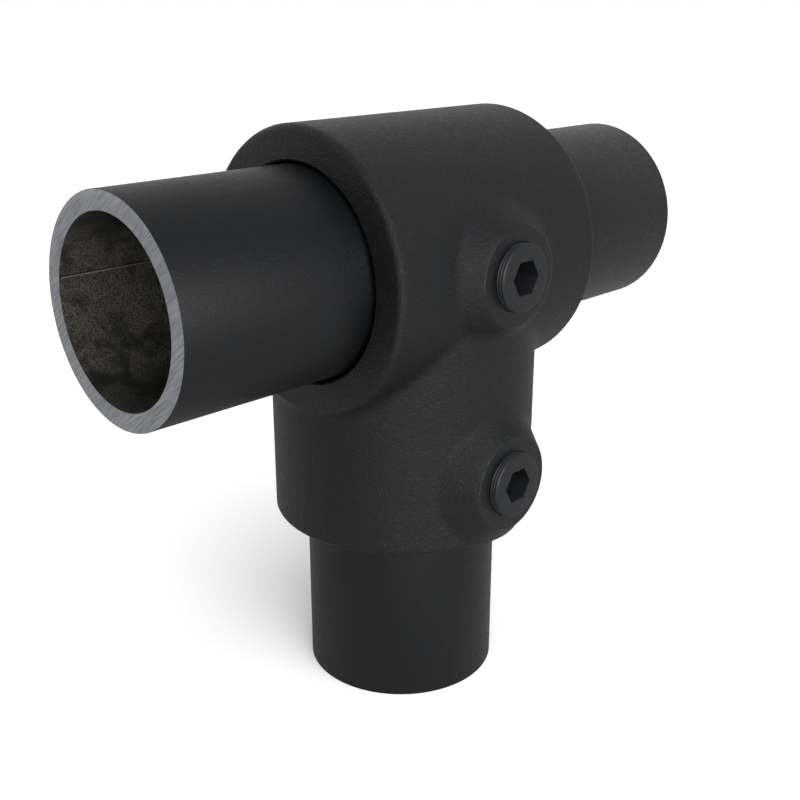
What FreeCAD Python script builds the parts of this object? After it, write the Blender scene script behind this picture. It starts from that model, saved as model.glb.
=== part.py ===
import FreeCAD, Part

import os

import Sketcher
from FreeCAD import Placement, Rotation, Vector

# Short tee clamp fitting for handrail tube, with the two tubes that it joins.
# The run tube lies along X and the branch tube hangs down -Z. Their axes cross at the origin.
# The set screws face -Y and push both tubes against the +Y side of their bores.
# All lengths are in millimetres and all angles in degrees.

DIMENSIONS = [
    ("tube_diameter", 48.3, "outside diameter of both tubes"),
    ("tube_wall", 4.2, "wall of both tubes"),
    ("run_tube_length", 158.8, "length of the run tube, centred on the fitting"),
    ("branch_tube_length", 81.2, "length of the branch tube from its seat to the foot"),
    ("tube_end_bevel", 0.3, "deburred edge at the tube ends"),
    ("bore_allowance", 1.3, "bore diameter less tube diameter"),
    ("tube_seat_gap", 0.05, "gap left where the screws push the tubes against the bores"),
    ("collar_wall", 7.9, "wall of the collar round the run tube"),
    ("collar_length", 66.1, "length of the collar along the run"),
    ("socket_wall", 7.8, "wall of the socket round the branch tube"),
    ("socket_reach", 65.3, "run axis to the mouth of the socket"),
    ("stop_web", 3.2, "thinnest metal between the run bore and the branch seat"),
    ("stop_ledge", 4.8, "width of the ledge that the branch tube seats on"),
    ("cast_edge_round", 1.6, "rounding of the cast outer edges"),
    ("crotch_round", 4.0, "fillet between the collar and the socket"),
    ("bore_mouth_bevel", 0.4, "bevel at the mouths of the bores"),
    ("boss_rim_diameter", 23.0, "flat pad on top of a screw boss"),
    ("boss_height", 3.6, "pad above the crown of the collar"),
    ("boss_root", 10.0, "depth of the tapering boss below its pad"),
    ("boss_draft_along", 50.0, "slope of a boss's side along its tube"),
    ("boss_draft_across", 33.0, "slope of a boss's side round its tube"),
    ("boss_flare_round", 5.0, "fillet between a boss and the wall that it stands on"),
    ("boss_rim_round", 0.8, "rounding of the pad's rim"),
    ("branch_screw_inset", 15.8, "mouth of the socket to the axis of the branch screw"),
    ("screw_diameter", 15.4, "outside diameter of the screw thread"),
    ("screw_length", 14.45, "length of a set screw"),
    ("screw_hole_allowance", 0.2, "threaded hole's diameter less the screw's"),
    ("screw_hole_bevel", 0.1, "bevel at the mouth of a screw hole"),
    ("screw_tip_gap", 0.05, "gap between the cup point and the tube"),
    ("screw_face_diameter", 13.6, "flat face of a screw inside its bevel"),
    ("screw_face_bevel", 0.6, "depth of the bevel round a screw's face"),
    ("cup_diameter", 10.0, "edge of the cup point"),
    ("cup_depth", 1.6, "depth of the hollow in the cup point"),
    ("hex_across_flats", 7.5, "hexagon socket for the key"),
    ("hex_depth", 7.5, "depth of the hexagon socket"),
    ("hex_drill_angle", 120.0, "point angle of the hole drilled before broaching"),
]

TUBE_RADIUS = "Dimensions.tube_diameter / 2"
TUBE_BORE_RADIUS = "(Dimensions.tube_diameter / 2 - Dimensions.tube_wall)"
BORE_RADIUS = "((Dimensions.tube_diameter + Dimensions.bore_allowance) / 2)"
COLLAR_RADIUS = f"({BORE_RADIUS} + Dimensions.collar_wall)"
SOCKET_RADIUS = f"({BORE_RADIUS} + Dimensions.socket_wall)"
STOP_DEPTH = f"({BORE_RADIUS} + Dimensions.stop_web)"
CORE_RADIUS = f"({BORE_RADIUS} - Dimensions.stop_ledge)"
PAD_PLANE = f"({COLLAR_RADIUS} + Dimensions.boss_height)"
BOSS_RIM_RADIUS = "(Dimensions.boss_rim_diameter / 2)"
SEAT_OFFSET = "(Dimensions.bore_allowance / 2 - Dimensions.tube_seat_gap)"
BRANCH_SCREW_DROP = "(Dimensions.socket_reach - Dimensions.branch_screw_inset)"
SCREW_RADIUS = "(Dimensions.screw_diameter / 2)"
SCREW_HOLE_DIAMETER = "(Dimensions.screw_diameter + Dimensions.screw_hole_allowance)"

# Lengths closer than this are the same.
TOUCHING = 0.001

# Where the surface seams of the collar and the socket lie, clear of the places where fillets meet.
COLLAR_SEAM = 90
SOCKET_SEAM = 45


def write_dimensions(doc):
    """Put every driving dimension in the sheet, each under its own alias."""
    sheet = doc.addObject("Spreadsheet::Sheet", "Dimensions")
    for row, (alias, size, note) in enumerate(DIMENSIONS, start=1):
        sheet.set(f"A{row}", alias)
        sheet.set(f"B{row}", str(size))
        sheet.setAlias(f"B{row}", alias)
        sheet.set(f"C{row}", note)
    doc.recompute()
    return sheet


def value(body, expression):
    """Number that an expression on the sheet comes to."""
    return float(body.evalExpression(expression))


def new_body(doc, name):
    """Empty body whose label names the sub-part."""
    body = doc.addObject("PartDesign::Body", name)
    body.Label = name
    return body


def new_sketch(body, name, role, offset=None, drop=None, turn=0):
    """Sketch on one of the body's origin planes, moved out along its normal by offset and down by drop."""
    plane = next(feature for feature in body.Origin.OriginFeatures if feature.Role == role)
    sketch = body.newObject("Sketcher::SketchObject", name)
    sketch.AttachmentSupport = [(plane, "")]
    sketch.MapMode = "FlatFace"
    sketch.AttachmentOffset = Placement(Vector(), Rotation(Vector(0, 0, 1), turn))
    if offset:
        sketch.setExpression("AttachmentOffset.Base.z", offset)
    if drop:
        sketch.setExpression("AttachmentOffset.Base.y", f"-({drop})")
    return sketch


def bind(sketch, constraint, name, expression):
    """Add a constraint to the sketch and bind its size to the sheet."""
    index = sketch.addConstraint(constraint)
    sketch.renameConstraint(index, name)
    sketch.setExpression(f"Constraints.{name}", expression)


def draw_circle(body, sketch, name, radius):
    """Circle about the sketch's origin."""
    start = value(body, radius)
    circle = sketch.addGeometry(Part.Circle(Vector(), Vector(0, 0, 1), start), False)
    sketch.addConstraint(Sketcher.Constraint("Coincident", circle, 3, -1, 1))
    bind(sketch, Sketcher.Constraint("Radius", circle, start), name, radius)


def draw_ellipse(body, sketch, long_radius, short_radius):
    """Ellipse about the sketch's origin, longest along the sketch's X."""
    long_start = value(body, long_radius)
    short_start = value(body, short_radius)
    shape = Part.Ellipse(Vector(long_start, 0, 0), Vector(0, short_start, 0), Vector())
    ellipse = sketch.addGeometry(shape, False)
    sketch.exposeInternalGeometry(ellipse)
    long_axis = ellipse + 1
    short_axis = ellipse + 2
    sketch.addConstraint(Sketcher.Constraint("Coincident", ellipse, 3, -1, 1))
    sketch.addConstraint(Sketcher.Constraint("Horizontal", long_axis))
    long_size = Sketcher.Constraint("Distance", long_axis, 2 * long_start)
    bind(sketch, long_size, "long_axis", f"2 * ({long_radius})")
    short_size = Sketcher.Constraint("Distance", short_axis, 2 * short_start)
    bind(sketch, short_size, "short_axis", f"2 * ({short_radius})")


def draw_hexagon(body, sketch, across_flats):
    """Regular hexagon about the sketch's origin, with two corners on its X axis."""
    corner_radius = f"{across_flats} / (2 * cos(30))"
    start = value(body, corner_radius)
    circle = sketch.addGeometry(Part.Circle(Vector(), Vector(0, 0, 1), start), True)
    sketch.addConstraint(Sketcher.Constraint("Coincident", circle, 3, -1, 1))
    bind(sketch, Sketcher.Constraint("Radius", circle, start), "corner_radius", corner_radius)
    corners = [Rotation(Vector(0, 0, 1), 60 * turn).multVec(Vector(start, 0, 0)) for turn in range(6)]
    sides = []
    for first, second in zip(corners, corners[1:] + corners[:1]):
        sides.append(sketch.addGeometry(Part.LineSegment(first, second), False))
    for side, following in zip(sides, sides[1:] + sides[:1]):
        sketch.addConstraint(Sketcher.Constraint("Coincident", side, 2, following, 1))
        sketch.addConstraint(Sketcher.Constraint("PointOnObject", side, 2, circle))
    for side in sides[1:]:
        sketch.addConstraint(Sketcher.Constraint("Equal", sides[0], side))
    sketch.addConstraint(Sketcher.Constraint("PointOnObject", sides[0], 1, -1))


def draw_profile(body, sketch, corners):
    """Closed outline through named corners. Each is (name, x, y), where None puts it on that axis."""
    starts = []
    for _, x, y in corners:
        starts.append(Vector(value(body, x) if x else 0, value(body, y) if y else 0, 0))
    lines = []
    for first, second in zip(starts, starts[1:] + starts[:1]):
        lines.append(sketch.addGeometry(Part.LineSegment(first, second), False))
    for line, following in zip(lines, lines[1:] + lines[:1]):
        sketch.addConstraint(Sketcher.Constraint("Coincident", line, 2, following, 1))
    for line, start, (name, x, y) in zip(lines, starts, corners):
        if x:
            bind(sketch, Sketcher.Constraint("DistanceX", -1, 1, line, 1, start.x), f"{name}_x", x)
        else:
            sketch.addConstraint(Sketcher.Constraint("PointOnObject", line, 1, -2))
        if y:
            bind(sketch, Sketcher.Constraint("DistanceY", -1, 1, line, 1, start.y), f"{name}_y", y)
        else:
            sketch.addConstraint(Sketcher.Constraint("PointOnObject", line, 1, -1))


def pad(body, name, sketch, length, symmetric=False, reverse=False):
    """Extrude a sketch into the body."""
    feature = body.newObject("PartDesign::Pad", name)
    feature.Profile = sketch
    feature.SideType = "Symmetric" if symmetric else "One side"
    feature.Reversed = reverse
    feature.setExpression("Length", length)
    return feature


def pocket(body, name, sketch, length, symmetric=False, reverse=False):
    """Cut a sketch out of the body."""
    feature = body.newObject("PartDesign::Pocket", name)
    feature.Profile = sketch
    feature.SideType = "Symmetric" if symmetric else "One side"
    feature.Reversed = reverse
    feature.setExpression("Length", length)
    return feature


def dress(doc, body, kind, name, base, edges, size_name, size):
    """Fillet or chamfer on the edges of the base that the test picks."""
    doc.recompute()
    names = [f"Edge{number}" for number, edge in enumerate(base.Shape.Edges, 1) if edges(base.Shape, edge)]
    if not names:
        raise RuntimeError(f"{name} finds no edge to work on")
    feature = body.newObject(kind, name)
    feature.Base = (base, names)
    feature.setExpression(size_name, size)
    doc.recompute()
    return feature


def near(first, second):
    """Whether two lengths are the same."""
    return abs(first - second) < TOUCHING


def circle_of(radius):
    """Test for edges that are whole or part circles of that radius."""

    def test(_, edge):
        return isinstance(edge.Curve, Part.Circle) and near(edge.Curve.Radius, radius)

    return test


def lies_along(face, direction):
    """Whether a round face turns about that direction."""
    return hasattr(face.Surface, "Axis") and abs(face.Surface.Axis.dot(direction)) > 1 - TOUCHING


def crotch_edge(shape, edge):
    """Test for edges where the collar, or its rounded end, meets the socket."""
    faces = shape.ancestorsOfType(edge, Part.Face)
    run = [f for f in faces if not isinstance(f.Surface, Part.Plane) and lies_along(f, Vector(1, 0, 0))]
    drop = [f for f in faces if isinstance(f.Surface, Part.Cylinder) and lies_along(f, Vector(0, 0, 1))]
    return bool(run) and bool(drop)


def pad_edge(pad_plane):
    """Test for edges that lie on the bosses' pad plane."""

    def test(_, edge):
        box = edge.BoundBox
        return near(box.YMin, -pad_plane) and near(box.YMax, -pad_plane)

    return test


def flare_edge(pad_plane, boss_drop):
    """Test for edges where a boss's tapering side meets the wall that it stands on."""
    on_pad = pad_edge(pad_plane)

    def is_side(face):
        rims = [edge for edge in face.Edges if on_pad(None, edge)]
        centred = [rim for rim in rims if near(rim.BoundBox.Center.z, -boss_drop)]
        return bool(centred) and not isinstance(face.Surface, Part.Plane)

    def test(shape, edge):
        faces = shape.ancestorsOfType(edge, Part.Face)
        sides = [face for face in faces if is_side(face)]
        return len(faces) == 2 and len(sides) == 1 and not on_pad(None, edge)

    return test


def edge_at_level(level):
    """Test for edges that lie wholly at one height."""

    def test(_, edge):
        return near(edge.BoundBox.ZMin, level) and near(edge.BoundBox.ZMax, level)

    return test


def screw_boss(doc, body, name, drop, turn):
    """Round flat pad on a tapering boss, flared into the wall. Its long slope lies along the tube."""
    rim = new_sketch(body, f"{name}PadSketch", "XZ_Plane", PAD_PLANE, drop, turn)
    draw_circle(body, rim, "rim_radius", BOSS_RIM_RADIUS)
    root_plane = f"{PAD_PLANE} - Dimensions.boss_root"
    root = new_sketch(body, f"{name}RootSketch", "XZ_Plane", root_plane, drop, turn)
    long_radius = f"{BOSS_RIM_RADIUS} + Dimensions.boss_root * tan(Dimensions.boss_draft_along)"
    short_radius = f"{BOSS_RIM_RADIUS} + Dimensions.boss_root * tan(Dimensions.boss_draft_across)"
    draw_ellipse(body, root, long_radius, short_radius)
    boss = body.newObject("PartDesign::AdditiveLoft", f"{name}Boss")
    boss.Profile = rim
    boss.Sections = [root]
    boss.Ruled = True
    test = flare_edge(value(body, PAD_PLANE), value(body, drop) if drop else 0)
    flare_round = "Dimensions.boss_flare_round"
    return dress(doc, body, "PartDesign::Fillet", f"{name}Flare", boss, test, "Radius", flare_round)


def screw_hole(doc, body, name, drop):
    """Round hole for a set screw, from the pad into the tube bore."""
    sketch = new_sketch(body, f"{name}HoleSketch", "XZ_Plane", PAD_PLANE, drop)
    draw_circle(body, sketch, "hole_radius", f"{SCREW_HOLE_DIAMETER} / 2")
    depth = f"{PAD_PLANE} - {CORE_RADIUS}"
    cut = pocket(body, f"{name}Hole", sketch, depth)
    round_edge = circle_of(value(body, f"{SCREW_HOLE_DIAMETER} / 2"))
    on_pad = pad_edge(value(body, PAD_PLANE))

    def mouth(shape, edge):
        return round_edge(shape, edge) and on_pad(shape, edge)

    bevel = "Dimensions.screw_hole_bevel"
    return dress(doc, body, "PartDesign::Chamfer", f"{name}HoleBevel", cut, mouth, "Size", bevel)


def make_clamp_body(doc):
    """Cast body: collar for the run tube, socket for the branch tube and two screw bosses."""
    body = new_body(doc, "clamp_body")

    sketch = new_sketch(body, "CollarSketch", "YZ_Plane", turn=COLLAR_SEAM)
    draw_circle(body, sketch, "collar_radius", COLLAR_RADIUS)
    collar = pad(body, "Collar", sketch, "Dimensions.collar_length", symmetric=True)
    rim = circle_of(value(body, COLLAR_RADIUS))
    edge_round = "Dimensions.cast_edge_round"
    dress(doc, body, "PartDesign::Fillet", "CollarEdgeRound", collar, rim, "Radius", edge_round)

    sketch = new_sketch(body, "SocketSketch", "XY_Plane", turn=SOCKET_SEAM)
    draw_circle(body, sketch, "socket_radius", SOCKET_RADIUS)
    overrun = f"Dimensions.socket_reach + {BOSS_RIM_RADIUS}"
    socket = pad(body, "Socket", sketch, overrun, reverse=True)
    crotch_round = "Dimensions.crotch_round"
    dress(doc, body, "PartDesign::Fillet", "CrotchRound", socket, crotch_edge, "Radius", crotch_round)

    screw_boss(doc, body, "Run", None, 0)
    screw_boss(doc, body, "Branch", BRANCH_SCREW_DROP, 90)

    sketch = new_sketch(body, "SocketTrimSketch", "XY_Plane", "-Dimensions.socket_reach")
    draw_circle(body, sketch, "trim_radius", f"2 * {SOCKET_RADIUS}")
    trim = pocket(body, "SocketTrim", sketch, f"2 * {BOSS_RIM_RADIUS}")
    mouth = edge_at_level(-value(body, "Dimensions.socket_reach"))
    dress(doc, body, "PartDesign::Fillet", "SocketEdgeRound", trim, mouth, "Radius", edge_round)
    pads = pad_edge(value(body, PAD_PLANE))
    rim_round = "Dimensions.boss_rim_round"
    dress(doc, body, "PartDesign::Fillet", "PadRimRound", body.Tip, pads, "Radius", rim_round)

    sketch = new_sketch(body, "RunBoreSketch", "YZ_Plane")
    draw_circle(body, sketch, "bore_radius", BORE_RADIUS)
    pocket(body, "RunBore", sketch, "2 * Dimensions.collar_length", symmetric=True)
    sketch = new_sketch(body, "CoreSketch", "XY_Plane")
    draw_circle(body, sketch, "core_radius", CORE_RADIUS)
    pocket(body, "CoreOpening", sketch, "Dimensions.socket_reach")
    sketch = new_sketch(body, "BranchBoreSketch", "XY_Plane", f"-{STOP_DEPTH}")
    draw_circle(body, sketch, "bore_radius", BORE_RADIUS)
    bore = pocket(body, "BranchBore", sketch, "Dimensions.socket_reach")
    doc.recompute()

    bore_edge = circle_of(value(body, BORE_RADIUS))
    reach = value(body, "Dimensions.collar_length / 2")
    drop = value(body, "Dimensions.socket_reach")

    def bore_mouth(shape, edge):
        box = edge.BoundBox
        return bore_edge(shape, edge) and (near(abs(box.Center.x), reach) or near(box.ZMax, -drop))

    bevel = "Dimensions.bore_mouth_bevel"
    dress(doc, body, "PartDesign::Chamfer", "BoreMouthBevel", bore, bore_mouth, "Size", bevel)
    screw_hole(doc, body, "Run", None)
    screw_hole(doc, body, "Branch", BRANCH_SCREW_DROP)
    body.setExpression("Placement.Base.y", f"-{SEAT_OFFSET}")
    return body


def make_tube(doc, name, role, length, offset=None, symmetric=False):
    """Plain round tube with deburred ends."""
    body = new_body(doc, name)
    sketch = new_sketch(body, f"{name}_section", role, offset)
    draw_circle(body, sketch, "outside_radius", TUBE_RADIUS)
    draw_circle(body, sketch, "inside_radius", TUBE_BORE_RADIUS)
    tube = pad(body, f"{name}_length", sketch, length, symmetric=symmetric, reverse=not symmetric)

    def end_edge(_, edge):
        return isinstance(edge.Curve, Part.Circle)

    bevel = "Dimensions.tube_end_bevel"
    dress(doc, body, "PartDesign::Chamfer", f"{name}_bevel", tube, end_edge, "Size", bevel)
    return body


def make_set_screw(doc, name, drop=None):
    """Set screw with a cup point and a hexagon socket. It is turned from its tip at the body's origin."""
    body = new_body(doc, name)
    length = "Dimensions.screw_length"
    profile = new_sketch(body, f"{name}_profile", "XY_Plane")
    corners = [
        ("hollow", None, "Dimensions.cup_depth"),
        ("cup", "Dimensions.cup_diameter / 2", None),
        ("point", SCREW_RADIUS, f"{SCREW_RADIUS} - Dimensions.cup_diameter / 2"),
        ("shoulder", SCREW_RADIUS, f"{length} - Dimensions.screw_face_bevel"),
        ("face", "Dimensions.screw_face_diameter / 2", length),
        ("centre", None, length),
    ]
    draw_profile(body, profile, corners)
    turned = body.newObject("PartDesign::Revolution", f"{name}_turned")
    turned.Profile = profile
    turned.ReferenceAxis = (profile, ["V_Axis"])
    turned.Angle = 360
    doc.recompute()

    sketch = new_sketch(body, f"{name}_drill", "XZ_Plane", f"-{length}")
    draw_circle(body, sketch, "drill_radius", "Dimensions.hex_across_flats / 2")
    doc.recompute()
    drilled = body.newObject("PartDesign::Hole", f"{name}_drilled")
    drilled.Profile = sketch
    doc.recompute()
    drilled.Reversed = True
    drilled.DepthType = "Dimension"
    drilled.DrillPoint = "Angled"
    drilled.setExpression("Diameter", "Dimensions.hex_across_flats")
    drilled.setExpression("Depth", "Dimensions.hex_depth")
    drilled.setExpression("DrillPointAngle", "Dimensions.hex_drill_angle")
    doc.recompute()

    sketch = new_sketch(body, f"{name}_hexagon", "XZ_Plane", f"-{length}")
    draw_hexagon(body, sketch, "Dimensions.hex_across_flats")
    pocket(body, f"{name}_broached", sketch, "Dimensions.hex_depth", reverse=True)

    body.Placement = Placement(Vector(), Rotation(Vector(0, 0, 1), 180))
    body.setExpression("Placement.Base.y", f"-({TUBE_RADIUS} + Dimensions.screw_tip_gap)")
    if drop:
        body.setExpression("Placement.Base.z", f"-{drop}")
    return body


def check(doc, bodies):
    """Stop if any object failed, if a shape isn't sound or if a cut removed nothing."""
    for item in doc.Objects:
        if "Invalid" in item.State or "Error" in item.State:
            raise RuntimeError(f"{item.Name} failed: {item.State}")
        if item.TypeId in ("PartDesign::Pocket", "PartDesign::Hole"):
            if item.Shape.Volume > item.BaseFeature.Shape.Volume - TOUCHING:
                raise RuntimeError(f"{item.Name} cuts nothing")
    for body in bodies:
        if body.Shape.isNull() or not body.Shape.isValid() or len(body.Shape.Solids) != 1:
            raise RuntimeError(f"{body.Label} is not one sound solid")


def main():
    """Build the document and write each sub-part to its own file."""
    doc = FreeCAD.newDocument("TubeClampTee")
    write_dimensions(doc)
    seat = f"-{STOP_DEPTH}"
    bodies = [
        make_clamp_body(doc),
        make_tube(doc, "run_tube", "YZ_Plane", "Dimensions.run_tube_length", symmetric=True),
        make_tube(doc, "branch_tube", "XY_Plane", "Dimensions.branch_tube_length", offset=seat),
        make_set_screw(doc, "run_set_screw"),
        make_set_screw(doc, "branch_set_screw", BRANCH_SCREW_DROP),
    ]
    doc.recompute()
    check(doc, bodies)
    os.makedirs("parts", exist_ok=True)
    for body in bodies:
        body.Shape.exportStep(f"parts/{body.Label}.step")
        box = body.Shape.BoundBox
        print(body.Label, round(body.Shape.Volume, 1), box)


main()
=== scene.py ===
"""Looks of a short tee clamp fitting: finishes, tubes, set screws, studio and camera.

The casting is the CAD node with a coat. The tubes and the set screws are modelled again, with the weld
bead and the threads that the CAD leaves out. Lengths are in metres, in the row frame:
the axes of both tubes cross at the origin, the run lies along X and the set screws face -Y.
"""

import logging
import math
from dataclasses import dataclass
from enum import Enum
from typing import Callable

import bpy
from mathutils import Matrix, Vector


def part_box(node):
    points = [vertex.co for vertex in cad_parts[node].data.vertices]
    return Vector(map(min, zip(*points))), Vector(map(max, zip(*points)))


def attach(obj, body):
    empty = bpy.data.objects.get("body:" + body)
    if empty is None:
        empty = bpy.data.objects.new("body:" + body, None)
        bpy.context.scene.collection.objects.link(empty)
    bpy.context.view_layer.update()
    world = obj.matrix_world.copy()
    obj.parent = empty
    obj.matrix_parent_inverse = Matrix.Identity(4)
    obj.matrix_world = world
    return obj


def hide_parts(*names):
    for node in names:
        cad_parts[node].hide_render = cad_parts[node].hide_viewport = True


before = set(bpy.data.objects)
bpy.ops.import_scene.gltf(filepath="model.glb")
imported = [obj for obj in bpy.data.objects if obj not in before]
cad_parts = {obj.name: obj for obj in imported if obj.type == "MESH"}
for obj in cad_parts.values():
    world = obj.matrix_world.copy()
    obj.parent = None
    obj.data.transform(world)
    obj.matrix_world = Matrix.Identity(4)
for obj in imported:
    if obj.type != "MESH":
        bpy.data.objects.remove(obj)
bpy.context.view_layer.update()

LOG = logging.getLogger("tube_clamp_tee")
MM = 0.001

Color = tuple[float, float, float]
FaceTest = Callable[[Vector, Vector], bool]
EdgeTest = Callable[[Vector, Vector], bool]
PlaceTest = Callable[[Vector], bool]


class Slot(Enum):
    """Material slots of the record."""

    CASTING = "cast_coat"
    TUBE = "tube_coat"
    SCREW = "screw_coat"


class Axis(Enum):
    """Directions that a tube can run in, with the turn about Y that takes +Z there."""

    RUN = "X"
    DROP = "Z"

    @property
    def turn(self) -> float:
        """Turn about Y, in radians."""
        return math.pi / 2 if self is Axis.RUN else math.pi

    @property
    def vector(self) -> Vector:
        """Unit vector along the tube: away from its seen end for the run, downwards for the drop."""
        return Vector((1, 0, 0)) if self is Axis.RUN else Vector((0, 0, -1))


# Node trees


class Graph:
    """Short way to add nodes to a tree and to join them."""

    def __init__(self, tree: bpy.types.NodeTree) -> None:
        """Work on a tree.

        Args:
            tree: Node tree of a material, a world or a group.
        """
        self.tree = tree

    def add(self, kind: str, **settings: object) -> bpy.types.Node:
        """Add a node.

        Args:
            kind: Node type without its ShaderNode prefix.
            **settings: Properties of the node to set.

        Returns:
            The new node.
        """
        node = self.tree.nodes.new("ShaderNode" + kind)
        for name, setting in settings.items():
            setattr(node, name, setting)
        return node

    def put(self, node: bpy.types.Node, **values: object) -> bpy.types.Node:
        """Set or join inputs of a node.

        Args:
            node: Node whose inputs are meant.
            **values: Input names with _ for spaces, each with a constant or with a socket to join.

        Returns:
            The same node.
        """
        for name, given in values.items():
            socket = node.inputs[name.replace("_", " ")]
            if isinstance(given, bpy.types.NodeSocket):
                self.tree.links.new(given, socket)
            else:
                socket.default_value = given
        return node

    def noise(self, scale: float, detail: float, roughness: float, **more: object) -> bpy.types.Node:
        """Add a noise texture.

        Args:
            scale: Noise scale, in features per metre.
            detail: Octaves of finer noise.
            roughness: Weight of the finer octaves.
            **more: Other inputs, such as Vector or Distortion.

        Returns:
            The texture node.
        """
        node = self.add("TexNoise")
        return self.put(node, Scale=scale, Detail=detail, Roughness=roughness, **more)

    def remap(
        self,
        value: bpy.types.NodeSocket,
        low: float,
        high: float,
        to_low: float = 0.0,
        to_high: float = 1.0,
    ) -> bpy.types.NodeSocket:
        """Map a range of values to another, smoothly and without passing its ends.

        Args:
            value: Socket with the value to map.
            low: Value that gives to_low.
            high: Value that gives to_high.
            to_low: Result at and beyond low.
            to_high: Result at and beyond high.

        Returns:
            Socket with the result.
        """
        node = self.add("MapRange", interpolation_type="SMOOTHSTEP")
        self.put(node, Value=value, From_Min=low, From_Max=high, To_Min=to_low, To_Max=to_high)
        return node.outputs["Result"]

    def mix(self, factor: bpy.types.NodeSocket, first: Color, second: Color) -> bpy.types.NodeSocket:
        """Mix two colours.

        Args:
            factor: Socket with the share of the second.
            first: Colour at factor 0.
            second: Colour at factor 1.

        Returns:
            Socket with the mixed colour.
        """
        node = self.add("Mix", data_type="RGBA")
        self.tree.links.new(factor, node.inputs[0])
        node.inputs[6].default_value = (*first, 1)
        node.inputs[7].default_value = (*second, 1)
        return node.outputs[2]

    def math(self, operation: str, first: object, second: object = 0.0) -> bpy.types.NodeSocket:
        """Add a maths node.

        Args:
            operation: Blender's name of the operation.
            first: First operand, a number or a socket.
            second: Second operand, a number or a socket.

        Returns:
            Socket with the result.
        """
        node = self.add("Math", operation=operation)
        for socket, given in zip(node.inputs, (first, second)):
            if isinstance(given, bpy.types.NodeSocket):
                self.tree.links.new(given, socket)
            else:
                socket.default_value = given
        return node.outputs[0]


def new_group(
    name: str,
    inputs: dict[str, float],
    outputs: dict[str, str],
) -> tuple[Graph, bpy.types.Node, bpy.types.Node]:
    """Start a shader node group.

    Args:
        name: Name of the group.
        inputs: Float inputs with their default values.
        outputs: Output names with their socket types.

    Returns:
        Graph of the group, its input node and its output node.
    """
    tree = bpy.data.node_groups.new(name, "ShaderNodeTree")
    for label, start in inputs.items():
        socket = tree.interface.new_socket(label, in_out="INPUT", socket_type="NodeSocketFloat")
        socket.default_value = start
    for label, kind in outputs.items():
        tree.interface.new_socket(label, in_out="OUTPUT", socket_type=kind)
    graph = Graph(tree)
    return graph, tree.nodes.new("NodeGroupInput"), tree.nodes.new("NodeGroupOutput")


def object_place(graph: Graph) -> bpy.types.NodeSocket:
    """Place on the piece, in metres."""
    return graph.add("TexCoord").outputs["Object"]


def level_along(graph: Graph, place: bpy.types.NodeSocket, axis: str) -> bpy.types.NodeSocket:
    """How far a place lies along X, Y or Z."""
    return graph.put(graph.add("SeparateXYZ"), Vector=place).outputs[axis]


def ripple_group() -> bpy.types.NodeTree:
    """Leathery ripple, longer across than it is high, and fine grain of a powder coat.

    Returns:
        Group with a Normal, a Mask of the ripple's crests and a Faced mask of what lies past a level along Y.
    """
    longer_across = (0.9, 0.9, 1.7)
    valley, crest = 0.35, 0.65
    depth_where_faced = 0.4
    inputs = {
        "Ripple Scale": 600.0,
        "Ripple Depth": 0.0001,
        "Grain Scale": 4000.0,
        "Grain Depth": 0.00001,
        "Faced From": -1.0,
    }
    outputs = {"Normal": "NodeSocketVector", "Mask": "NodeSocketFloat", "Faced": "NodeSocketFloat"}
    graph, given, out = new_group("coat_ripple", inputs, outputs)
    place = object_place(graph)
    stretch = graph.put(graph.add("Mapping"), Vector=place, Scale=longer_across)
    ripple = graph.noise(1.0, 4.0, 0.68, Vector=stretch.outputs["Vector"], Distortion=0.2)
    graph.put(ripple, Scale=given.outputs["Ripple Scale"])
    grain = graph.noise(1.0, 2.0, 0.6, Vector=place)
    graph.put(grain, Scale=given.outputs["Grain Scale"])
    faced = graph.math("LESS_THAN", level_along(graph, place, "Y"), given.outputs["Faced From"])
    share = graph.remap(faced, 0.0, 1.0, 1.0, depth_where_faced)
    depth = graph.math("MULTIPLY", given.outputs["Ripple Depth"], share)
    low = graph.put(graph.add("Bump"), Height=ripple.outputs["Fac"], Distance=depth)
    high = graph.put(graph.add("Bump"), Height=grain.outputs["Fac"], Distance=given.outputs["Grain Depth"])
    graph.put(high, Normal=low.outputs["Normal"])
    mask = graph.remap(ripple.outputs["Fac"], valley, crest)
    graph.put(out, Normal=high.outputs["Normal"], Mask=mask, Faced=faced)
    return graph.tree


def saw_group() -> bpy.types.NodeTree:
    """Fine slanting lines that a saw leaves across a tube's end.

    Returns:
        Group with a Normal and a Mask of the lines.
    """
    lines_per_metre = (600.0, 180.0, 12000.0)
    dark_line, light_line = 0.32, 0.68
    inputs = {"Slant": 0.8, "Depth": 0.00002}
    outputs = {"Normal": "NodeSocketVector", "Mask": "NodeSocketFloat"}
    graph, given, out = new_group("saw_lines", inputs, outputs)
    turn = graph.put(graph.add("CombineXYZ"), X=given.outputs["Slant"])
    place = graph.add("Mapping")
    graph.put(place, Vector=object_place(graph), Rotation=turn.outputs["Vector"])
    stretch = graph.put(graph.add("Mapping"), Vector=place.outputs["Vector"], Scale=lines_per_metre)
    fine = graph.noise(1.0, 3.0, 0.6, Vector=stretch.outputs["Vector"])
    bump = graph.put(graph.add("Bump"), Height=fine.outputs["Fac"], Distance=given.outputs["Depth"])
    mask = graph.remap(fine.outputs["Fac"], dark_line, light_line)
    graph.put(out, Normal=bump.outputs["Normal"], Mask=mask)
    return graph.tree


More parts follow.
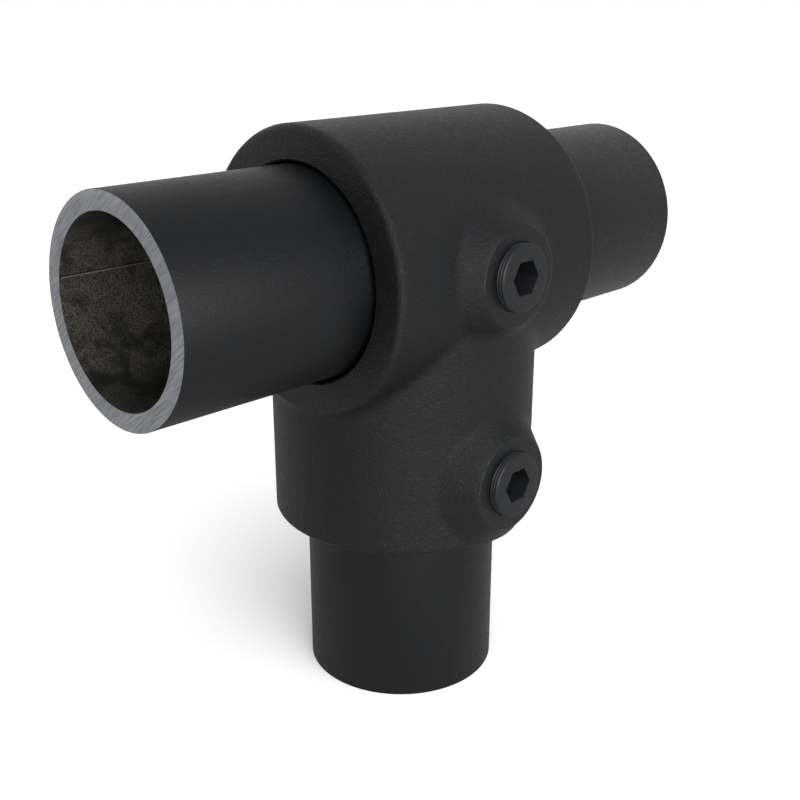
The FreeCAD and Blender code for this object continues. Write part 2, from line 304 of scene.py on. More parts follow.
def scale_group() -> bpy.types.NodeTree:
    """Stained and finely pitted scale inside a rolled tube, with painted shade that darkens it towards its
    top and bottom.

    Returns:
        Group with a Normal and a Mask of stains, pits and the painted shade.
    """
    stained, unstained, stain_share = 0.34, 0.56, 0.3
    pitted, smooth, pit_share = 0.39, 0.6, 0.06
    # Middle level of the bore that the painted shade leaves lightest.
    lit_middle = -0.0015
    shade_reach, shade_raggedness, shade_share = 0.013, 0.008, 0.03
    inputs = {"Stain Scale": 150.0, "Pit Scale": 2900.0, "Depth": 0.0001}
    outputs = {"Normal": "NodeSocketVector", "Mask": "NodeSocketFloat"}
    graph, given, out = new_group("mill_scale", inputs, outputs)
    place = object_place(graph)
    pits = graph.noise(1.0, 4.0, 0.7, Vector=place)
    graph.put(pits, Scale=given.outputs["Pit Scale"])
    stains = graph.noise(1.0, 6.0, 0.68, Vector=place, Distortion=0.3)
    graph.put(stains, Scale=given.outputs["Stain Scale"])
    broad = graph.remap(stains.outputs["Fac"], stained, unstained, stain_share, 1.0)
    fine = graph.remap(pits.outputs["Fac"], pitted, smooth, pit_share, 1.0)
    # Painted shade: the scale darkens with distance above and below the middle level, its edge made ragged by
    # the stains.
    level = graph.math("SUBTRACT", level_along(graph, place, "Z"), lit_middle)
    frayed = graph.math("MULTIPLY", broad, shade_raggedness)
    ragged = graph.math("SUBTRACT", graph.math("ABSOLUTE", level), frayed)
    painted_shade = graph.remap(ragged, 0.0, shade_reach, 1.0, shade_share)
    bump = graph.put(graph.add("Bump"), Height=pits.outputs["Fac"], Distance=given.outputs["Depth"])
    mask = graph.math("MULTIPLY", graph.math("MULTIPLY", broad, fine), painted_shade)
    graph.put(out, Normal=bump.outputs["Normal"], Mask=mask)
    return graph.tree


# Finishes


@dataclass(frozen=True)
class Coat:
    """Black powder coat, smooth on tube and leathery on castings.

    Attributes:
        name: Name of the material.
        color: Colour of the coat.
        roughness: Roughness of its crests.
        specular: Level of its reflections, where 0.5 is plain plastic.
        ripple: Ripples per metre.
        ripple_depth: Depth of the ripples, in metres.
        grain: Grains per metre.
        grain_depth: Depth of the grain, in metres.
        faced_from: Level along Y beyond which the casting was faced flat before it was coated, in metres.
    """

    name: str
    color: Color
    roughness: float
    specular: float
    ripple: float
    ripple_depth: float
    grain: float
    grain_depth: float
    faced_from: float = -1.0

    VALLEY_ROUGHNESS = 0.08
    FACED_POLISH = 0.14

    def build(self) -> bpy.types.Material:
        """Make the material.

        Returns:
            The material.
        """
        material, graph, shader = new_material(self.name)
        relief = graph.add("Group", node_tree=bpy.data.node_groups["coat_ripple"])
        graph.put(relief, Ripple_Scale=self.ripple, Ripple_Depth=self.ripple_depth)
        graph.put(relief, Grain_Scale=self.grain, Grain_Depth=self.grain_depth, Faced_From=self.faced_from)
        valleys = self.roughness + self.VALLEY_ROUGHNESS
        cast = graph.remap(relief.outputs["Mask"], 0.0, 1.0, valleys, self.roughness)
        polish = graph.math("MULTIPLY", relief.outputs["Faced"], self.FACED_POLISH)
        rough = graph.math("SUBTRACT", cast, polish)
        graph.put(shader, Base_Color=(*self.color, 1), Roughness=rough, Normal=relief.outputs["Normal"])
        graph.put(shader, Specular_IOR_Level=self.specular)
        return material


@dataclass(frozen=True)
class SawnSteel:
    """Bare steel of a sawn tube end.

    Attributes:
        name: Name of the material.
        dark: Colour in the saw lines.
        light: Colour between them.
        roughness: Roughness of the steel.
        slant: Turn of the saw lines about X, in radians.
        depth: Depth of the lines, in metres.
    """

    name: str
    dark: Color
    light: Color
    roughness: float
    slant: float
    depth: float

    def build(self) -> bpy.types.Material:
        """Make the material.

        Returns:
            The material.
        """
        material, graph, shader = new_material(self.name)
        lines = graph.add("Group", node_tree=bpy.data.node_groups["saw_lines"])
        graph.put(lines, Slant=self.slant, Depth=self.depth)
        tone = graph.mix(lines.outputs["Mask"], self.dark, self.light)
        graph.put(shader, Base_Color=tone, Metallic=1.0, Roughness=self.roughness)
        graph.put(shader, Normal=lines.outputs["Normal"])
        return material


@dataclass(frozen=True)
class MillScale:
    """Dark brown scale inside a tube, darkened towards its top and bottom by the painted shade of its group.

    Attributes:
        name: Name of the material.
        dark: Colour of the stains, the pits and the painted shade.
        light: Colour between the stains.
        roughness: Roughness of the scale.
        depth: Depth of the pits, in metres.
    """

    name: str
    dark: Color
    light: Color
    roughness: float
    depth: float

    def build(self) -> bpy.types.Material:
        """Make the material.

        Returns:
            The material.
        """
        material, graph, shader = new_material(self.name)
        scale = graph.add("Group", node_tree=bpy.data.node_groups["mill_scale"])
        graph.put(scale, Depth=self.depth)
        tone = graph.mix(scale.outputs["Mask"], self.dark, self.light)
        graph.put(shader, Base_Color=tone, Roughness=self.roughness, Normal=scale.outputs["Normal"])
        return material


CAST_COAT = Coat(
    name="cast_coat",
    color=(0.0018, 0.0022, 0.0028),
    roughness=0.44,
    specular=0.39,
    ripple=1000.0,
    ripple_depth=0.28 * MM,
    grain=2800.0,
    grain_depth=0.2 * MM,
    faced_from=-36.7 * MM,
)
TUBE_COAT = Coat(
    name="tube_coat",
    color=(0.0013, 0.0017, 0.0023),
    roughness=0.42,
    specular=0.39,
    ripple=900.0,
    ripple_depth=0.01 * MM,
    grain=3400.0,
    grain_depth=0.06 * MM,
)
SCREW_COAT = Coat(
    name="screw_coat",
    color=(0.0098, 0.0104, 0.0113),
    roughness=0.4,
    specular=0.27,
    ripple=900.0,
    ripple_depth=0.01 * MM,
    grain=5000.0,
    grain_depth=0.01 * MM,
)
# Lighter, glossier coat for the thread crests: part wear, part painted highlight along them.
WORN_GLINT_COAT = Coat(
    name="worn_glint_coat",
    color=(0.024, 0.025, 0.027),
    roughness=0.35,
    specular=0.42,
    ripple=900.0,
    ripple_depth=0.01 * MM,
    grain=5000.0,
    grain_depth=0.01 * MM,
)
SAWN_STEEL = SawnSteel(
    name="sawn_steel",
    dark=(0.2, 0.208, 0.226),
    light=(0.52, 0.532, 0.56),
    roughness=0.42,
    slant=0.65,
    depth=0.03 * MM,
)
MILL_SCALE = MillScale(
    name="mill_scale",
    dark=(0.006, 0.0056, 0.0035),
    light=(0.225, 0.21, 0.162),
    roughness=0.5,
    depth=6.0 * MM,
)
WELD_BEAD = MillScale(
    name="weld_bead",
    dark=(0.03, 0.029, 0.024),
    light=(0.16, 0.15, 0.12),
    roughness=0.5,
    depth=0.4 * MM,
)
# Painted shade: near-black on the sloping sides of the weld bead, standing in for the shade there.
BEAD_SLOPE_SHADE = MillScale(
    name="bead_slope_shade",
    dark=(0.002, 0.002, 0.0015),
    light=(0.008, 0.0075, 0.006),
    roughness=0.7,
    depth=0.05 * MM,
)


def new_material(name: str) -> tuple[bpy.types.Material, Graph, bpy.types.Node]:
    """Start a material.

    Args:
        name: Name of the material.

    Returns:
        The material, its graph and its main shader.
    """
    material = bpy.data.materials.new(name)
    material.use_nodes = True
    shader = material.node_tree.nodes["Principled BSDF"]
    return material, Graph(material.node_tree), shader


# Modelling


def only(piece: bpy.types.Object) -> bpy.types.Object:
    """Select one object alone and make it active.

    Args:
        piece: Object to work on.

    Returns:
        The same object.
    """
    bpy.ops.object.select_all(action="DESELECT")
    piece.select_set(True)
    bpy.context.view_layer.objects.active = piece
    return piece


class Editing:
    """Edit mode on one object, for the length of a with block."""

    def __init__(self, piece: bpy.types.Object, mode: str = "FACE") -> None:
        """Prepare to edit an object.

        Args:
            piece: Object to edit.
            mode: Selection mode: VERT, EDGE or FACE.
        """
        self.piece = piece
        self.mode = mode

    def __enter__(self) -> "Editing":
        """Enter edit mode with the selection that was made in code."""
        only(self.piece)
        modes = ("VERT", "EDGE", "FACE")
        bpy.context.tool_settings.mesh_select_mode = [mode == self.mode for mode in modes]
        bpy.ops.object.mode_set(mode="EDIT")
        return self

    def __exit__(self, *_: object) -> None:
        """Go back to object mode."""
        bpy.ops.object.mode_set(mode="OBJECT")


def clear_picks(piece: bpy.types.Object) -> None:
    """Select nothing of a mesh.

    Args:
        piece: Object in object mode.
    """
    for elements in (piece.data.vertices, piece.data.edges, piece.data.polygons):
        elements.foreach_set("select", [False] * len(elements))


def pick_faces(piece: bpy.types.Object, test: FaceTest) -> None:
    """Select the faces that a test picks, and no others.

    Args:
        piece: Object in object mode.
        test: Takes a face's centre and normal, and says whether it is picked.
    """
    clear_picks(piece)
    for face in piece.data.polygons:
        face.select = test(face.center, face.normal)


def pick_edges(piece: bpy.types.Object, test: EdgeTest) -> None:
    """Select the edges that a test picks, and no others.

    Args:
        piece: Object in object mode.
        test: Takes both ends of an edge, and says whether it is picked.
    """
    clear_picks(piece)
    for edge in piece.data.edges:
        first, second = (piece.data.vertices[index].co for index in edge.vertices)
        edge.select = test(first, second)


def pick_vertices(piece: bpy.types.Object, test: PlaceTest) -> None:
    """Select the vertices that a test picks, and no others.

    Args:
        piece: Object in object mode.
        test: Takes a vertex's place, and says whether it is picked.
    """
    clear_picks(piece)
    for vertex in piece.data.vertices:
        vertex.select = test(vertex.co)


def finish_piece(piece: bpy.types.Object, smooth_angle: float) -> None:
    """Smooth a piece and take its place into its mesh.

    Args:
        piece: Object to finish.
        smooth_angle: Edges sharper than this stay sharp, in radians.
    """
    only(piece)
    bpy.ops.object.transform_apply(location=True, rotation=True, scale=True)
    bpy.ops.object.shade_smooth_by_angle(angle=smooth_angle)


def apply_all(piece: bpy.types.Object) -> None:
    """Apply every modifier of a piece, in order.

    Args:
        piece: Object whose modifiers are applied.
    """
    only(piece)
    for modifier in list(piece.modifiers):
        bpy.ops.object.modifier_apply(modifier=modifier.name)


def cut(piece: bpy.types.Object, tool: bpy.types.Object, operation: str) -> None:
    """Work one closed mesh on another and remove the tool.

    Args:
        piece: Object that is changed.
        tool: Object that it is worked with.
        operation: DIFFERENCE, INTERSECT or UNION.
    """
    boolean = piece.modifiers.new("cut", "BOOLEAN")
    boolean.operation = operation
    boolean.object = tool
    boolean.solver = "EXACT"
    apply_all(piece)
    bpy.data.objects.remove(tool)


class TubeFinish(Enum):
    """Finishes of a stub tube, by the place of each in its list of materials."""

    COAT = 0
    SAWN = 1
    INSIDE = 2
    BEAD = 3
    BEAD_SLOPE_SHADE = 4


@dataclass(frozen=True)
class TubeSizes:
    """Sizes of a stub tube.

    Attributes:
        outside_radius: Outside radius.
        start: Place of its first end along its axis.
        length: Length.
        wall: Thickness of the wall.
        end_bevel: Deburred edge at its ends.
        bead_rise: How far the weld bead stands in from the wall.
        bead_inset: How far its flat top is set in from the side that it is raised on.
        bead_angle: Turn of the bead about the tube, from +Y towards +Z for the run.
        sides: Flat sides that stand for the round.
    """

    outside_radius: float
    start: float
    length: float
    wall: float = 4.2 * MM
    end_bevel: float = 0.1 * MM
    bead_rise: float = 0.3 * MM
    bead_inset: float = 0.12 * MM
    bead_angle: float = math.radians(10.5)
    sides: int = 180


class StubTube:
    """Round tube with sawn bare ends and a weld bead along its inside."""

    BEAD_TOP = 0.75
    BEAD_FOOT = 0.25
    SQUARE = 0.95
    SMOOTH_ANGLE = math.radians(40)

    def __init__(self, name: str, node: str, axis: Axis, sizes: TubeSizes) -> None:
        """Describe the tube.

        Args:
            name: Name of the piece.
            node: CAD node that it stands for.
            axis: Direction that it runs in.
            sizes: Its sizes.
        """
        self.name = name
        self.node = node
        self.axis = axis
        self.sizes = sizes

    @property
    def inside_radius(self) -> float:
        """Inside radius of the tube."""
        return self.sizes.outside_radius - self.sizes.wall

    def build(self, finishes: list[bpy.types.Material]) -> bpy.types.Object:
        """Model the tube and give it its finishes.

        Args:
            finishes: Materials in the order of TubeFinish.

        Returns:
            The tube.
        """
        sizes = self.sizes
        middle = self.axis.vector * (sizes.start + sizes.length / 2)
        bpy.ops.mesh.primitive_cylinder_add(
            vertices=sizes.sides,
            radius=sizes.outside_radius,
            depth=sizes.length,
            location=middle,
            rotation=(0, self.axis.turn, 0),
        )
        tube = bpy.context.active_object
        tube.name = self.name
        bpy.ops.object.transform_apply(location=True, rotation=True, scale=True)
        self._hollow(tube)
        self._deburr(tube)
        self._weld_bead(tube)
        for material in finishes:
            tube.data.materials.append(material)
        for face in tube.data.polygons:
            face.material_index = self._finish_of(face.center, face.normal).value
        finish_piece(tube, self.SMOOTH_ANGLE)
        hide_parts(self.node)
        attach(tube, "root")
        return tube

    def _along(self, place: Vector) -> float:
        """How far a place lies along the tube's axis from its first end."""
        return place.dot(self.axis.vector) - self.sizes.start

    def _radius(self, place: Vector) -> float:
        """How far a place lies from the tube's axis."""
        return (place - self.axis.vector * place.dot(self.axis.vector)).length

    def _finish_of(self, place: Vector, normal: Vector) -> TubeFinish:
        """Finish that a face at that place and with that normal takes."""
        if abs(normal.dot(self.axis.vector)) > self.SQUARE:
            return TubeFinish.SAWN
        radius = self._radius(place)
        if radius > self.inside_radius + self.sizes.end_bevel:
            return TubeFinish.COAT
        rise = (self.inside_radius - radius) / self.sizes.bead_rise
        if rise > self.BEAD_TOP:
            return TubeFinish.BEAD
        # The bead's sloping sides take the painted shade.
        return TubeFinish.BEAD_SLOPE_SHADE if rise > self.BEAD_FOOT else TubeFinish.INSIDE

    def _hollow(self, tube: bpy.types.Object) -> None:
        """Open the bar into a tube with its wall."""
        pick_faces(tube, lambda _, normal: abs(normal.dot(self.axis.vector)) > self.SQUARE)
        with Editing(tube):
            bpy.ops.mesh.inset(thickness=self.sizes.wall, use_even_offset=True)
            bpy.ops.mesh.bridge_edge_loops()

    def _deburr(self, tube: bpy.types.Object) -> None:
        """Take the sharp edges off both ends."""
        length = self.sizes.length
        close = self.sizes.end_bevel / 2

        def at_end(first: Vector, second: Vector) -> bool:
            along = self._along(first)
            square = abs(self._along(second) - along) < close
            level = abs(self._radius(first) - self._radius(second)) < close
            return square and level and min(abs(along), abs(along - length)) < close

        pick_edges(tube, at_end)
        with Editing(tube, "EDGE"):
            bpy.ops.mesh.bevel(offset=self.sizes.end_bevel, segments=2, affect="EDGES")

    def _weld_bead(self, tube: bpy.types.Object) -> None:
        """Raise the weld bead along the inside wall."""
        towards = Vector((0, math.cos(self.sizes.bead_angle), math.sin(self.sizes.bead_angle)))
        if self.axis is Axis.DROP:
            towards = Vector((towards.z, towards.y, 0))
        half_side = math.pi / self.sizes.sides

        def on_bead(centre: Vector, _: Vector) -> bool:
            off_axis = centre - self.axis.vector * centre.dot(self.axis.vector)
            inner = off_axis.length < self.inside_radius + self.sizes.end_bevel / 2
            long = self.sizes.end_bevel < self._along(centre) < self.sizes.length - self.sizes.end_bevel
            return inner and long and off_axis.angle(towards) < half_side

        pick_faces(tube, on_bead)
        with Editing(tube):
            bpy.ops.mesh.inset(thickness=self.sizes.bead_inset)
            bpy.ops.transform.shrink_fatten(value=self.sizes.bead_rise)


@dataclass(frozen=True)
class ScrewSizes:
    """Sizes of a set screw.

    Attributes:
        radius: Crest radius of the thread.
        face: Place of its face along Y.
        tip: Place of its cup point along Y.
        pitch: Pitch of the thread.
        thread_depth: Crest to root of the thread.
        crest_flat: Width of the thread's flat crest.
        face_bevel: Depth of the bevel round its face.
        face_radius: Radius of the flat face.
        across_flats: Hexagon socket.
        socket_depth: Depth of the hexagon socket.
        cup_radius: Radius of the cup point's edge.
        cup_depth: Depth of the hollow in the cup point.
        edge_bevel: Width of the fine bevel at the edge of its flat face.
        crest_glint_depth: Depth from the crests within which the lighter worn coat is laid, part wear and
            part painted highlight.
        thread_spare: Length of thread that is trimmed off at each end.
        socket_spare: How far the hexagon stands out of the face before it is cut out.
        same_place: Vertices of two turns of the thread closer than this are one.
        sides: Flat sides of a turn of the thread.
        outline_sides: Flat sides of the outline that trims the thread.
    """

    radius: float
    face: float
    tip: float
    pitch: float = 0.72 * MM
    thread_depth: float = 0.42 * MM
    crest_flat: float = 0.16 * MM
    face_bevel: float = 0.22 * MM
    face_radius: float = 7.2 * MM
    across_flats: float = 7.5 * MM
    socket_depth: float = 7.5 * MM
    cup_radius: float = 5.0 * MM
    cup_depth: float = 1.6 * MM
    edge_bevel: float = 0.05 * MM
    crest_glint_depth: float = 0.05 * MM
    thread_spare: float = 0.2 * MM
    socket_spare: float = 1 * MM
    same_place: float = 0.001 * MM
    sides: int = 128
    outline_sides: int = 150

    @property
    def length(self) -> float:
        """Length of the screw."""
        return self.tip - self.face


class ScrewFinish(Enum):
    """Finishes of a set screw, by the place of each in its list of materials."""

    COAT = 0
    WORN = 1


class SetScrew:
    """Threaded set screw with a hexagon socket and a cup point."""

    END_FACING = 0.9
    SMOOTH_ANGLE = math.radians(28)

    def __init__(self, name: str, node: str, drop: float, sizes: ScrewSizes) -> None:
        """Describe the screw.

        Args:
            name: Name of the piece.
            node: CAD node that it stands for.
            drop: Place of its axis along Z.
            sizes: Its sizes.
        """
        self.name = name
        self.node = node
        self.drop = drop
        self.sizes = sizes

    def build(self, finishes: list[bpy.types.Material]) -> bpy.types.Object:
        """Model the screw and give it its finishes.

        Args:
            finishes: Materials in the order of ScrewFinish.

        Returns:
            The screw.
        """
        screw = self._threaded_bar()
        cut(screw, self._envelope(), "INTERSECT")
        cut(screw, self._socket(), "DIFFERENCE")
        cut(screw, self._cup(), "DIFFERENCE")
        screw.name = self.name
        screw.data.materials.clear()
        for material in finishes:
            screw.data.materials.append(material)
        for face in screw.data.polygons:
            face.material_index = self._finish_of(face.center).value
        finish_piece(screw, self.SMOOTH_ANGLE)
        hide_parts(self.node)
        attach(screw, "root")
        return screw

    def _finish_of(self, place: Vector) -> ScrewFinish:
        """Finish that a face at that place takes: the crests of the thread take the lighter worn coat, part
        wear and part painted highlight.
        """
        radius = math.hypot(place.x, place.z - self.drop)
        # Crests take the lighter coat, part wear and part painted highlight.
        crest = radius > self.sizes.radius - self.sizes.crest_glint_depth
        return ScrewFinish.WORN if crest else ScrewFinish.COAT

    def _threaded_bar(self) -> bpy.types.Object:
        """Bar with a full thread, longer than the screw at both ends."""
        sizes = self.sizes
        root = sizes.radius - sizes.thread_depth
        crest = sizes.face - sizes.pitch
        middle = (root + sizes.pitch / 2, crest, self.drop)
        bpy.ops.mesh.primitive_plane_add(size=sizes.pitch, location=middle)
        bar = bpy.context.active_object
        bpy.ops.object.transform_apply(location=True, rotation=True, scale=True)
        pick_edges(bar, lambda first, second: max(first.x, second.x) > root + sizes.pitch / 2)
        with Editing(bar, "EDGE"):
            bpy.ops.mesh.delete(type="EDGE")
            bpy.ops.mesh.select_all(action="SELECT")
            bpy.ops.mesh.subdivide(number_cuts=1)
        pick_vertices(bar, lambda place: abs(place.y - crest) < sizes.pitch / 4)
        with Editing(bar, "VERT"):
            bpy.ops.transform.translate(value=(sizes.thread_depth + sizes.crest_flat / 2, 0, 0))
        helix = bar.modifiers.new("helix", "SCREW")
        helix.axis = "Y"
        helix.angle = 2 * math.pi
        helix.screw_offset = sizes.pitch
        helix.iterations = math.ceil(sizes.length / sizes.pitch) + 2
        helix.steps = helix.render_steps = sizes.sides
        centre = self._marker()
        helix.object = centre
        apply_all(bar)
        bpy.data.objects.remove(centre)
        with Editing(bar):
            bpy.ops.mesh.select_all(action="SELECT")
            bpy.ops.mesh.remove_doubles(threshold=sizes.same_place)
        self._close_end(bar, sizes.face - sizes.thread_spare, 1)
        self._close_end(bar, sizes.tip + sizes.thread_spare, -1)
        with Editing(bar):
            bpy.ops.mesh.select_all(action="SELECT")
            bpy.ops.mesh.normals_make_consistent(inside=False)
        return bar

    def _marker(self) -> bpy.types.Object:
        """Empty on the screw's axis, about which the thread is wound."""
        bpy.ops.object.empty_add(location=(0, 0, self.drop))
        return bpy.context.active_object

    def _close_end(self, bar: bpy.types.Object, level: float, side: int) -> None:
        """Cut the bar square at a level along Y and close it there.

        Args:
            bar: Threaded bar.
            level: Place of the cut along Y.
            side: 1 to keep what lies beyond the level, -1 to keep what lies before it.
        """
        with Editing(bar):
            bpy.ops.mesh.select_all(action="SELECT")
            bpy.ops.mesh.bisect(
                plane_co=(0, level, self.drop),
                plane_no=(0, side, 0),
                use_fill=True,
                clear_inner=True,
            )

    def _envelope(self) -> bpy.types.Object:
        """Turned outline that the thread is trimmed to."""
        sizes = self.sizes
        middle = (sizes.face + sizes.tip) / 2
        bpy.ops.mesh.primitive_cylinder_add(
            vertices=sizes.outline_sides,
            radius=sizes.radius,
            depth=sizes.length,
            location=(0, middle, self.drop),
            rotation=(math.pi / 2, 0, 0),
        )
        blank = bpy.context.active_object
        bpy.ops.object.transform_apply(location=True, rotation=True, scale=True)
        self._narrow_end(blank, -1, sizes.face_radius, sizes.face_bevel)
        self._narrow_end(blank, 1, sizes.cup_radius, sizes.radius - sizes.cup_radius)

        def at_face(first: Vector, second: Vector) -> bool:
            return max(abs(first.y - sizes.face), abs(second.y - sizes.face)) < sizes.edge_bevel

        pick_edges(blank, at_face)
        with Editing(blank, "EDGE"):
            bpy.ops.mesh.bevel(offset=sizes.edge_bevel, segments=1, affect="EDGES")
        return blank

    def _narrow_end(self, blank: bpy.types.Object, side: int, radius: float, depth: float) -> None:
        """Taper one end of the turned outline.

        Args:
            blank: Plain bar.
            side: -1 for the face, 1 for the point.
            radius: Radius that is left at the end.
            depth: Length of the taper.
        """
        pick_faces(blank, lambda _, normal: normal.y * side > self.END_FACING)
        share = radius / self.sizes.radius
        with Editing(blank):
            bpy.ops.mesh.extrude_region_move(TRANSFORM_OT_translate={"value": (0, 0, 0)})
            bpy.ops.transform.resize(value=(share, 1, share), center_override=(0, 0, self.drop))
        end = self.sizes.face if side < 0 else self.sizes.tip

        def on_rim(place: Vector) -> bool:
            wide = math.hypot(place.x, place.z - self.drop) > (radius + self.sizes.radius) / 2
            return wide and abs(place.y - end) < depth / 2

        pick_vertices(blank, on_rim)
        with Editing(blank, "VERT"):
            bpy.ops.transform.translate(value=(0, -side * depth, 0))

    def _socket(self) -> bpy.types.Object:
        """Hexagon with a flat floor, to be cut out of the face."""
        sizes = self.sizes
        corner = sizes.across_flats / math.sqrt(3)
        spare = sizes.socket_spare
        bpy.ops.mesh.primitive_cylinder_add(
            vertices=6,
            radius=corner,
            depth=sizes.socket_depth + spare,
            location=(0, sizes.face + (sizes.socket_depth - spare) / 2, self.drop),
            rotation=(math.pi / 2, math.pi / 6, 0),
        )
        socket = bpy.context.active_object
        bpy.ops.object.transform_apply(location=True, rotation=True, scale=True)
        return socket

    def _cup(self) -> bpy.types.Object:
        """Cone to be cut out of the cup point."""
        sizes = self.sizes
        bpy.ops.mesh.primitive_cone_add(
            vertices=sizes.sides,
            radius1=sizes.cup_radius * 2,
            depth=sizes.cup_depth * 2,
            location=(0, sizes.tip, self.drop),
            rotation=(math.pi / 2, 0, 0),
        )
        cup = bpy.context.active_object
        bpy.ops.object.transform_apply(location=True, rotation=True, scale=True)
        return cup


@dataclass(frozen=True)
class Casting:
    """The cast body: the CAD node, merged and smoothed, with its coat.

    Attributes:
        node: CAD node that it is.
        merge: Vertices closer than this are one.
        crease: Edges sharper than this stay sharp, in radians.
    """

    node: str = "clamp_body"
    merge: float = 0.0005 * MM
    crease: float = math.radians(34)

    def build(self, coat: bpy.types.Material) -> bpy.types.Object:
        """Finish the CAD node.

        Args:
            coat: Finish of the casting.

        Returns:
            The CAD node's object.
        """
        body = only(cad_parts[self.node])
        weld = body.modifiers.new("merge", "WELD")
        weld.merge_threshold = self.merge
        crease = body.modifiers.new("crease", "EDGE_SPLIT")
        crease.split_angle = self.crease
        for face in body.data.polygons:
            face.use_smooth = True
        body.data.materials.clear()
        body.data.materials.append(coat)
        return body


# Studio


def aim_at(lamp: bpy.types.Object, aim: Vector) -> None:
    """Turn a lamp to face a point.

    Args:
        lamp: Lamp, in its place.
        aim: Point that it faces.
    """
    lamp.rotation_euler = (aim - lamp.location).to_track_quat("-Z", "Y").to_euler()


@dataclass(frozen=True)
class Softbox:
    """Square area light aimed at the casting.

    Attributes:
        name: Name of the light.
        place: Place of its middle.
        size: Length of its side.
        power: Power, in watts.
    """

    name: str
    place: tuple[float, float, float]
    size: float
    power: float

    def build(self) -> bpy.types.Object:
        """Set the light up.

        Returns:
            The light.
        """
        bpy.ops.object.light_add(type="AREA", location=self.place)
        lamp = bpy.context.active_object
        lamp.name = self.name
        lamp.data.size = self.size
        lamp.data.energy = self.power
        aim_at(lamp, Vector())
        return lamp


@dataclass(frozen=True)
class Skylight:
    """Far light that is even all over the floor, casts a soft shadow and isn't mirrored in the part.

    Attributes:
        name: Name of the light.
        place: Point that it shines from.
        strength: Light that falls on a surface that faces it, where pi makes white show as white.
        spread: Width of the light as seen from the part, in radians.
    """

    name: str
    place: tuple[float, float, float]
    strength: float
    spread: float

    def build(self) -> bpy.types.Object:
        """Set the light up.

        Returns:
            The light.
        """
        bpy.ops.object.light_add(type="SUN", location=self.place)
        lamp = bpy.context.active_object
        lamp.name = self.name
        lamp.data.energy = self.strength
        lamp.data.angle = self.spread
        lamp.visible_glossy = False
        aim_at(lamp, Vector())
        return lamp


Lamp = Softbox | Skylight


@dataclass(frozen=True)
class View:
    """Camera that stands where the photograph was taken from.

    Attributes:
        place: Place of the lens.
        azimuth: Turn about Z, in radians, where 0 looks along +Y.
        elevation: How far it looks down, in radians.
        lens: Focal length, in millimetres.
        sensor: Width of the sensor, in millimetres.
        reach: Nearest and farthest distance that is seen.
    """

    place: tuple[float, float, float]
    azimuth: float
    elevation: float
    lens: float
    sensor: float = 36.0
    reach: tuple[float, float] = (0.01, 20.0)

    def build(self) -> bpy.types.Object:
        """Set the camera up.

        Returns:
            The camera.
        """
        turn = (math.pi / 2 - self.elevation, 0, self.azimuth)
        bpy.ops.object.camera_add(location=self.place, rotation=turn)
        camera = bpy.context.active_object
        camera.name = "camera"
        camera.data.lens = self.lens
        camera.data.sensor_width = self.sensor
        camera.data.clip_start, camera.data.clip_end = self.reach
        bpy.context.scene.camera = camera
        return camera


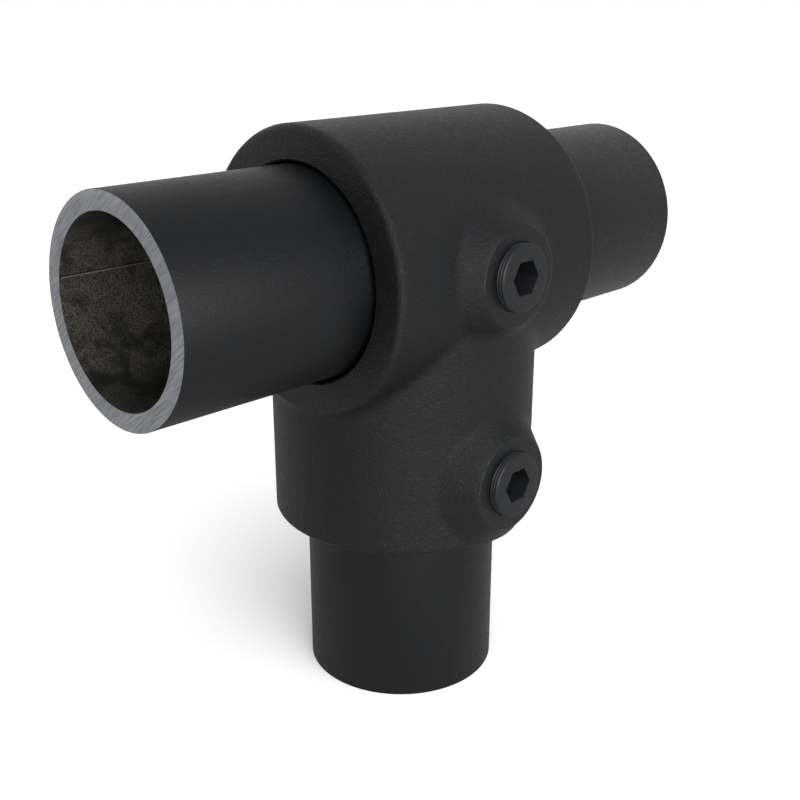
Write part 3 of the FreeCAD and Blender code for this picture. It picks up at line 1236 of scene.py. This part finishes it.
@dataclass(frozen=True)
class Studio:
    """Pale floor, white surroundings, soft lights and the camera.

    Attributes:
        ground: Height of the floor.
        backdrop: Axis, side and strength of each soft glow that the surroundings cast on the part.
        floor_seen: Tone of the floor to the camera.
        floor_lit: Tone of the floor to all other rays.
        floor_glow: Light that the floor gives off to the camera, so that it fades into the white.
        floor_size: Length of the floor's side.
        lights: Lamps.
        view: Camera.
    """

    ground: float
    backdrop: tuple[tuple[str, int, float], ...] = (
        ("X", 1, 0.66),
        ("X", -1, 0.2),
        ("Y", 1, 1.1),
        ("Z", 1, 0.52),
    )
    floor_seen: float = 0.95
    floor_lit: float = 0.39
    floor_glow: float = 0.005
    floor_size: float = 60.0
    lights: tuple[Lamp, ...] = (
        Skylight("key", (-0.26, -0.72, 0.64), 1.08 * math.pi, math.radians(86)),
        Softbox("front", (-0.45, -1.3, 0.2), 1.0, 18.8),
        Softbox("camera_side", (-0.95, -0.95, 0.45), 1.0, 3.0),
    )
    view: View = View((-0.187835, -0.18751, 0.05841), math.radians(-45), math.radians(20), 50.2)

    def build(self) -> None:
        """Set up the floor, the surroundings, the lights and the camera."""
        self._floor()
        self._world()
        for light in self.lights:
            light.build()
        self.view.build()
        bpy.context.scene.view_settings.view_transform = "Standard"

    def _floor(self) -> None:
        """Wide pale floor under the part."""
        bpy.ops.mesh.primitive_plane_add(size=self.floor_size, location=(0, 0, self.ground))
        floor = bpy.context.active_object
        floor.name = "floor"
        material, graph, shader = new_material("floor")
        seen = graph.add("LightPath").outputs["Is Camera Ray"]
        tone = graph.mix(seen, (self.floor_lit,) * 3, (self.floor_seen,) * 3)
        glow = graph.math("MULTIPLY", seen, self.floor_glow)
        graph.put(shader, Base_Color=tone, Roughness=1.0, Specular_IOR_Level=0.0)
        graph.put(shader, Emission_Color=(1, 1, 1, 1), Emission_Strength=glow)
        floor.data.materials.append(material)

    def _world(self) -> None:
        """White surroundings that fade towards the camera, and plain white where they are seen."""
        world = bpy.data.worlds.new("surroundings")
        bpy.context.scene.world = world
        world.use_nodes = True
        graph = Graph(world.node_tree)
        lit = world.node_tree.nodes["Background"]
        direction = graph.put(graph.add("SeparateXYZ"), Vector=graph.add("TexCoord").outputs["Generated"])
        glow = 0.0
        for axis, side, strength in self.backdrop:
            facing = graph.math("MAXIMUM", graph.math("MULTIPLY", direction.outputs[axis], side), 0.0)
            share = graph.math("MULTIPLY", graph.math("MULTIPLY", facing, facing), strength)
            glow = graph.math("ADD", share, glow)
        graph.put(lit, Color=(1, 1, 1, 1), Strength=glow)
        seen = graph.put(graph.add("Background"), Color=(1, 1, 1, 1), Strength=1.0)
        pick = graph.add("MixShader")
        links = world.node_tree.links
        links.new(graph.add("LightPath").outputs["Is Camera Ray"], pick.inputs["Fac"])
        links.new(lit.outputs["Background"], pick.inputs[1])
        links.new(seen.outputs["Background"], pick.inputs[2])
        links.new(pick.outputs["Shader"], world.node_tree.nodes["World Output"].inputs["Surface"])


def clear_scene() -> None:
    """Remove what Blender starts with."""
    for name in ("Cube", "Light", "Camera"):
        spare = bpy.data.objects.get(name)
        if spare is not None:
            bpy.data.objects.remove(spare)


def tube_of(node: str, axis: Axis) -> TubeSizes:
    """Read a tube's outside sizes from its CAD node.

    Args:
        node: Name of the CAD node.
        axis: Direction that the tube runs in.

    Returns:
        Sizes of the tube.
    """
    low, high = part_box(node)
    if axis is Axis.RUN:
        return TubeSizes(high.y, low.x, high.x - low.x)
    return TubeSizes(high.x, -high.z, high.z - low.z)


def screw_of(node: str) -> tuple[float, ScrewSizes]:
    """Read a screw's place and outside sizes from its CAD node.

    Args:
        node: Name of the CAD node.

    Returns:
        Place of its axis along Z, and its sizes.
    """
    low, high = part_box(node)
    return (low.z + high.z) / 2, ScrewSizes(high.x, low.y, high.y)


def main() -> None:
    """Build the looks round the frame."""
    logging.basicConfig(level=logging.INFO, format="%(name)s: %(message)s")
    clear_scene()
    for make_group in (ripple_group, saw_group, scale_group):
        make_group()
    finishes = [finish.build() for finish in (TUBE_COAT, SAWN_STEEL, MILL_SCALE, WELD_BEAD, BEAD_SLOPE_SHADE)]
    casting = Casting().build(CAST_COAT.build())
    LOG.info("%s has %d faces", casting.name, len(casting.data.polygons))
    for node, axis in (("run_tube", Axis.RUN), ("branch_tube", Axis.DROP)):
        tube = StubTube(f"{node}_stub", node, axis, tube_of(node, axis))
        made = tube.build(finishes)
        LOG.info("%s has %d faces", made.name, len(made.data.polygons))
    screw_finishes = [finish.build() for finish in (SCREW_COAT, WORN_GLINT_COAT)]
    for node in ("run_set_screw", "branch_set_screw"):
        drop, sizes = screw_of(node)
        made = SetScrew(f"{node}_threaded", node, drop, sizes).build(screw_finishes)
        LOG.info("%s has %d faces", made.name, len(made.data.polygons))
    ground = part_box("branch_tube")[0].z
    Studio(ground).build()


if __name__ == "__main__":
    main()
